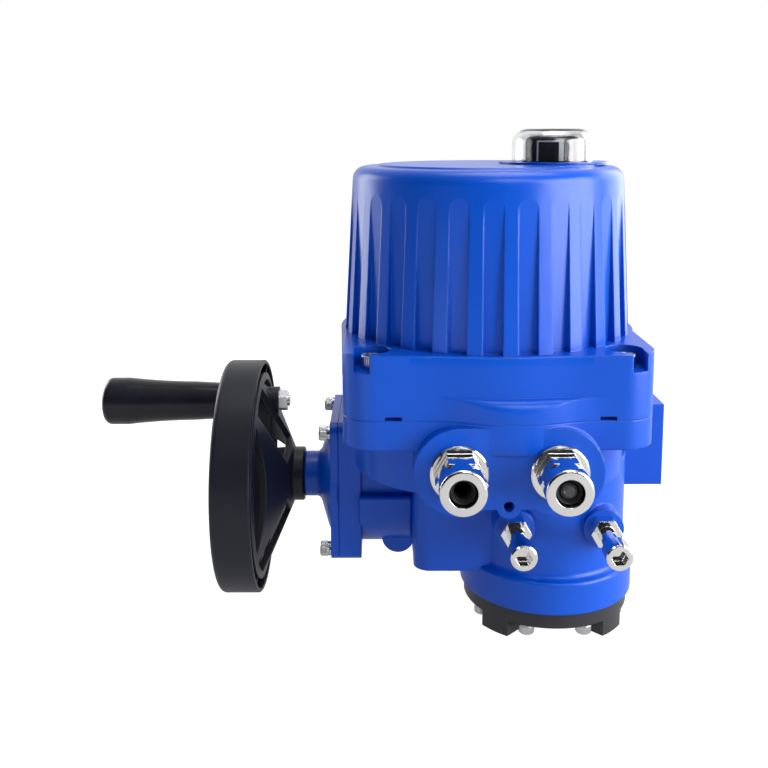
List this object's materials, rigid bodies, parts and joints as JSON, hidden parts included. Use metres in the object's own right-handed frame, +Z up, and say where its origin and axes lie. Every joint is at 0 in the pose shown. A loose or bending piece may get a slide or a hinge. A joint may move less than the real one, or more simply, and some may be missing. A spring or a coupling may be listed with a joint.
{
  "type": "electric valve actuator",
  "caption": "Quarter-turn electric valve actuator with a finned round cover on a square flange, a clear position dome, cable glands, travel stops and a manual handwheel.",
  "frame": {"origin": "centre of the valve flange's bolt circle, on its mounting face", "axes": "+Z up along the output shaft, +X away from the handwheel, -Y towards the cable glands"},
  "size_m": [0.5195, 0.3405, 0.4319],
  "materials": {
    "blue_paint": "satin powder coat",
    "black_paint": "semi-gloss powder coat",
    "trim_blue": "satin powder coat",
    "stainless": "bright turned",
    "nickel": "nickel plated",
    "steel": "machined",
    "cast_iron": "machined",
    "bronze": "machined",
    "rubber": "moulded",
    "clear": "clear polycarbonate",
    "drum_black": "moulded",
    "motor_grey": "satin",
    "aluminium": "brushed",
    "terminal_plastic": "moulded",
    "capacitor_plastic": "moulded",
    "cam_plastic": "moulded",
    "switch_plastic": "moulded",
    "black_plastic": "moulded",
    "grip_plastic": "polished"
  },
  "bodies": {
    "housing": {"base_ring": "black_paint", "cover_seal": "rubber", "cover_bolts": "stainless", "indicator_dome": "clear", "dome_bezel": "trim_blue", "bezel_screws": "stainless", "worm_cover_gasket": "rubber", "worm_cover_washers": "stainless", "worm_cover_bolts": "stainless", "gland_bodies": "nickel", "gland_caps": "nickel", "gland_seals": "rubber", "gland_plug": "rubber", "stop_screws": "nickel", "stop_nuts": "nickel", "base_ring_washers": "stainless", "base_ring_screws": "stainless", "output_seal": "rubber", "lower_bush": "bronze", "upper_bush": "bronze", "bearing_carrier": "cast_iron", "gear_plate": "steel", "gear_plate_screws": "stainless", "worm_bearings": "steel", "worm_seal": "rubber", "idler_axle": "steel", "motor_housing": "motor_grey", "motor_bearings": "steel", "motor_bracket": "steel", "chassis_plate": "aluminium", "chassis_posts": "steel", "chassis_screws": "stainless", "terminal_block": "terminal_plastic", "run_capacitor": "capacitor_plastic", "heater": "aluminium", "switch_bracket": "steel", "limit_switches": "switch_plastic", "base_casting": "blue_paint", "top_cover": "blue_paint", "worm_cover": "blue_paint"},
    "output": {"drive_sleeve": "steel", "worm_wheel": "bronze", "indicator_shaft": "steel", "open_cam": "cam_plastic", "close_cam": "cam_plastic", "indicator_drum": "drum_black"},
    "hand_drive": {"worm_shaft": "steel", "worm_gear": "steel", "handwheel": "black_plastic", "handle_axle": "stainless", "handle_nut": "stainless", "hub_screw": "stainless"},
    "idler": {"idler_gear": "steel"},
    "rotor": {"motor_rotor": "steel"},
    "grip": {"handle_grip": "grip_plastic", "grip_cap": "grip_plastic"}
  },
  "joints": [
    {"name": "hand_drive_turn", "type": "hinge", "parent": "housing", "child": "hand_drive", "pos_m": [-0.2, 0.062, 0.0985], "axis": [1, 0, 0], "range_deg": [0, 3420]},
    {"name": "output_turn", "type": "hinge", "parent": "housing", "child": "output", "pos_m": [0, 0, 0.1], "axis": [0, 0, 1], "range_deg": [0, 90]},
    {"name": "idler_turn", "type": "hinge", "parent": "housing", "child": "idler", "pos_m": [-0.13, 0.05199, 0.16171], "axis": [1, 0, 0], "range_deg": [-4398, 0]},
    {"name": "rotor_turn", "type": "hinge", "parent": "housing", "child": "rotor", "pos_m": [-0.06, 0.04573, 0.20122], "axis": [1, 0, 0], "range_deg": [0, 10260]},
    {"name": "grip_turn", "type": "hinge", "parent": "hand_drive", "child": "grip", "pos_m": [-0.3, 0.06871, 0.16818], "axis": [1, 0, 0], "continuous": true}
  ],
  "couplings": [
    {"joint": "output_turn", "follows": "hand_drive_turn", "ratio": 0.026316},
    {"joint": "idler_turn", "follows": "hand_drive_turn", "ratio": -1.2857},
    {"joint": "rotor_turn", "follows": "hand_drive_turn", "ratio": 3}
  ]
}
